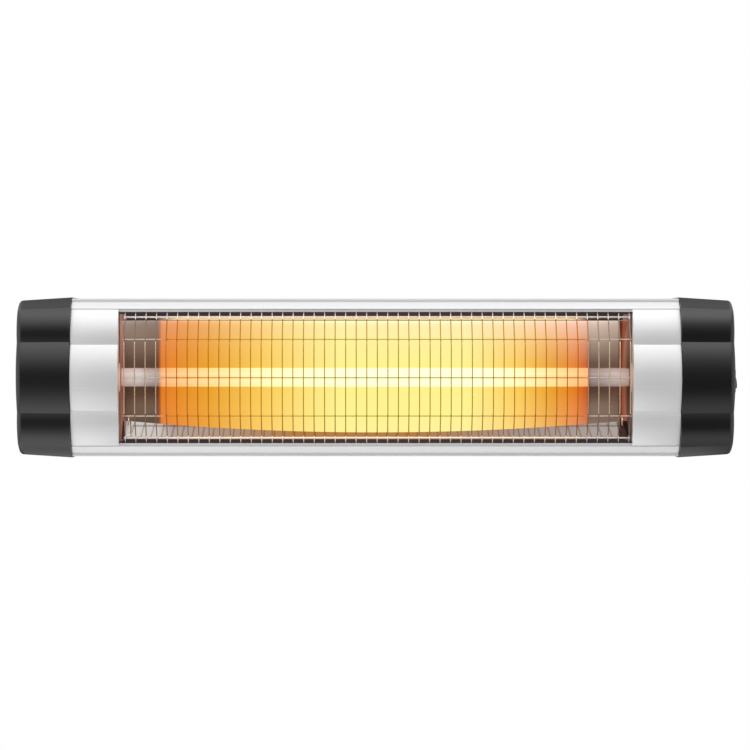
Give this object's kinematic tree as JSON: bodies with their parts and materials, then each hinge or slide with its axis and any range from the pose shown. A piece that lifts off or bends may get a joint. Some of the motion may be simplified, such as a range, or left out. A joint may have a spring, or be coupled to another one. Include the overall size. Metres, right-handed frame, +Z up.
{
  "type": "electric bar heater",
  "caption": "Wall-mounted bar heater: long aluminium housing with plastic end caps, glowing tube before a polished reflector, wire guard, tilting bracket and rocker switch.",
  "frame": {"origin": "centre of the wall bracket's back face, on the wall", "axes": "+X along the heater's length to the viewer's right, +Y into the wall, +Z up; the heater faces -Y"},
  "size_m": [0.7458, 0.1512, 0.1664],
  "materials": {
    "aluminium": "satin anodised",
    "black_plastic": "fine satin",
    "gloss_black": "gloss",
    "zinc_steel": "zinc plated",
    "polished_reflector": "mirror polished",
    "chrome_wire": "bright",
    "black_steel": "powder coat",
    "black_nylon": "moulded",
    "white_nylon": "moulded",
    "ceramic": "unglazed",
    "quartz": "clear, ends frosted",
    "carbon": "glowing",
    "terminal_plastic": "moulded",
    "silicone_lead": "silicone rubber",
    "white_lead": "silicone rubber",
    "earth_lead": "silicone rubber",
    "grey_rubber": "moulded"
  },
  "bodies": {
    "bracket": {"wall_bracket": "black_steel", "pivot_bolt_left": "zinc_steel", "pivot_bolt_right": "zinc_steel", "pivot_washer_left": "white_nylon", "pivot_washer_right": "white_nylon"},
    "knob_left": {"pivot_knob_left": "black_plastic"},
    "knob_right": {"pivot_knob_right": "black_plastic"},
    "heater": {"body_extrusion": "aluminium", "front_panel_left": "aluminium", "front_panel_right": "aluminium", "end_cap_left": "black_plastic", "end_cap_right": "black_plastic", "switch_housing": "black_plastic", "end_plate_left": "zinc_steel", "end_plate_right": "zinc_steel", "cap_screw_left_upper": "zinc_steel", "cap_screw_left_lower": "zinc_steel", "cap_screw_right_upper": "zinc_steel", "cap_screw_right_lower": "zinc_steel", "reflector_stay_left": "zinc_steel", "reflector_stay_right": "zinc_steel", "lamp_bracket_left": "zinc_steel", "lamp_bracket_right": "zinc_steel", "yoke_screw_upper": "zinc_steel", "yoke_screw_lower": "zinc_steel", "earth_screw": "zinc_steel", "reflector": "polished_reflector", "reflector_shelf": "polished_reflector", "reflector_end_left": "polished_reflector", "reflector_end_right": "polished_reflector", "guard_grille": "chrome_wire", "reflector_clip_left": "chrome_wire", "reflector_clip_right": "chrome_wire", "tilt_yoke": "black_steel", "cable_gland": "black_nylon", "gland_nut": "black_nylon", "lamp_cap_left": "ceramic", "lamp_cap_right": "ceramic", "quartz_tube": "quartz", "filament": "carbon", "terminal_block": "terminal_plastic", "lamp_lead_left": "silicone_lead", "lamp_lead_right": "silicone_lead", "switch_lead": "white_lead", "earth_lead": "earth_lead", "lead_grommet": "grey_rubber", "return_grommet": "grey_rubber"},
    "rocker": {"rocker": "gloss_black"}
  },
  "joints": [
    {"name": "tilt", "type": "hinge", "parent": "bracket", "child": "heater", "pos_m": [0, -0.035, 0], "axis": [1, 0, 0], "range_deg": [0, 45]},
    {"name": "rocker_tip", "type": "hinge", "parent": "heater", "child": "rocker", "pos_m": [0.3708, -0.1275, -0.0035], "axis": [0, 1, 0], "range_deg": [0, 18]},
    {"name": "knob_turn_left", "type": "hinge", "parent": "bracket", "child": "knob_left", "pos_m": [-0.04, -0.035, 0], "axis": [-1, 0, 0], "range_deg": [0, 180]},
    {"name": "knob_turn_right", "type": "hinge", "parent": "bracket", "child": "knob_right", "pos_m": [0.04, -0.035, 0], "axis": [1, 0, 0], "range_deg": [0, 180]}
  ]
}
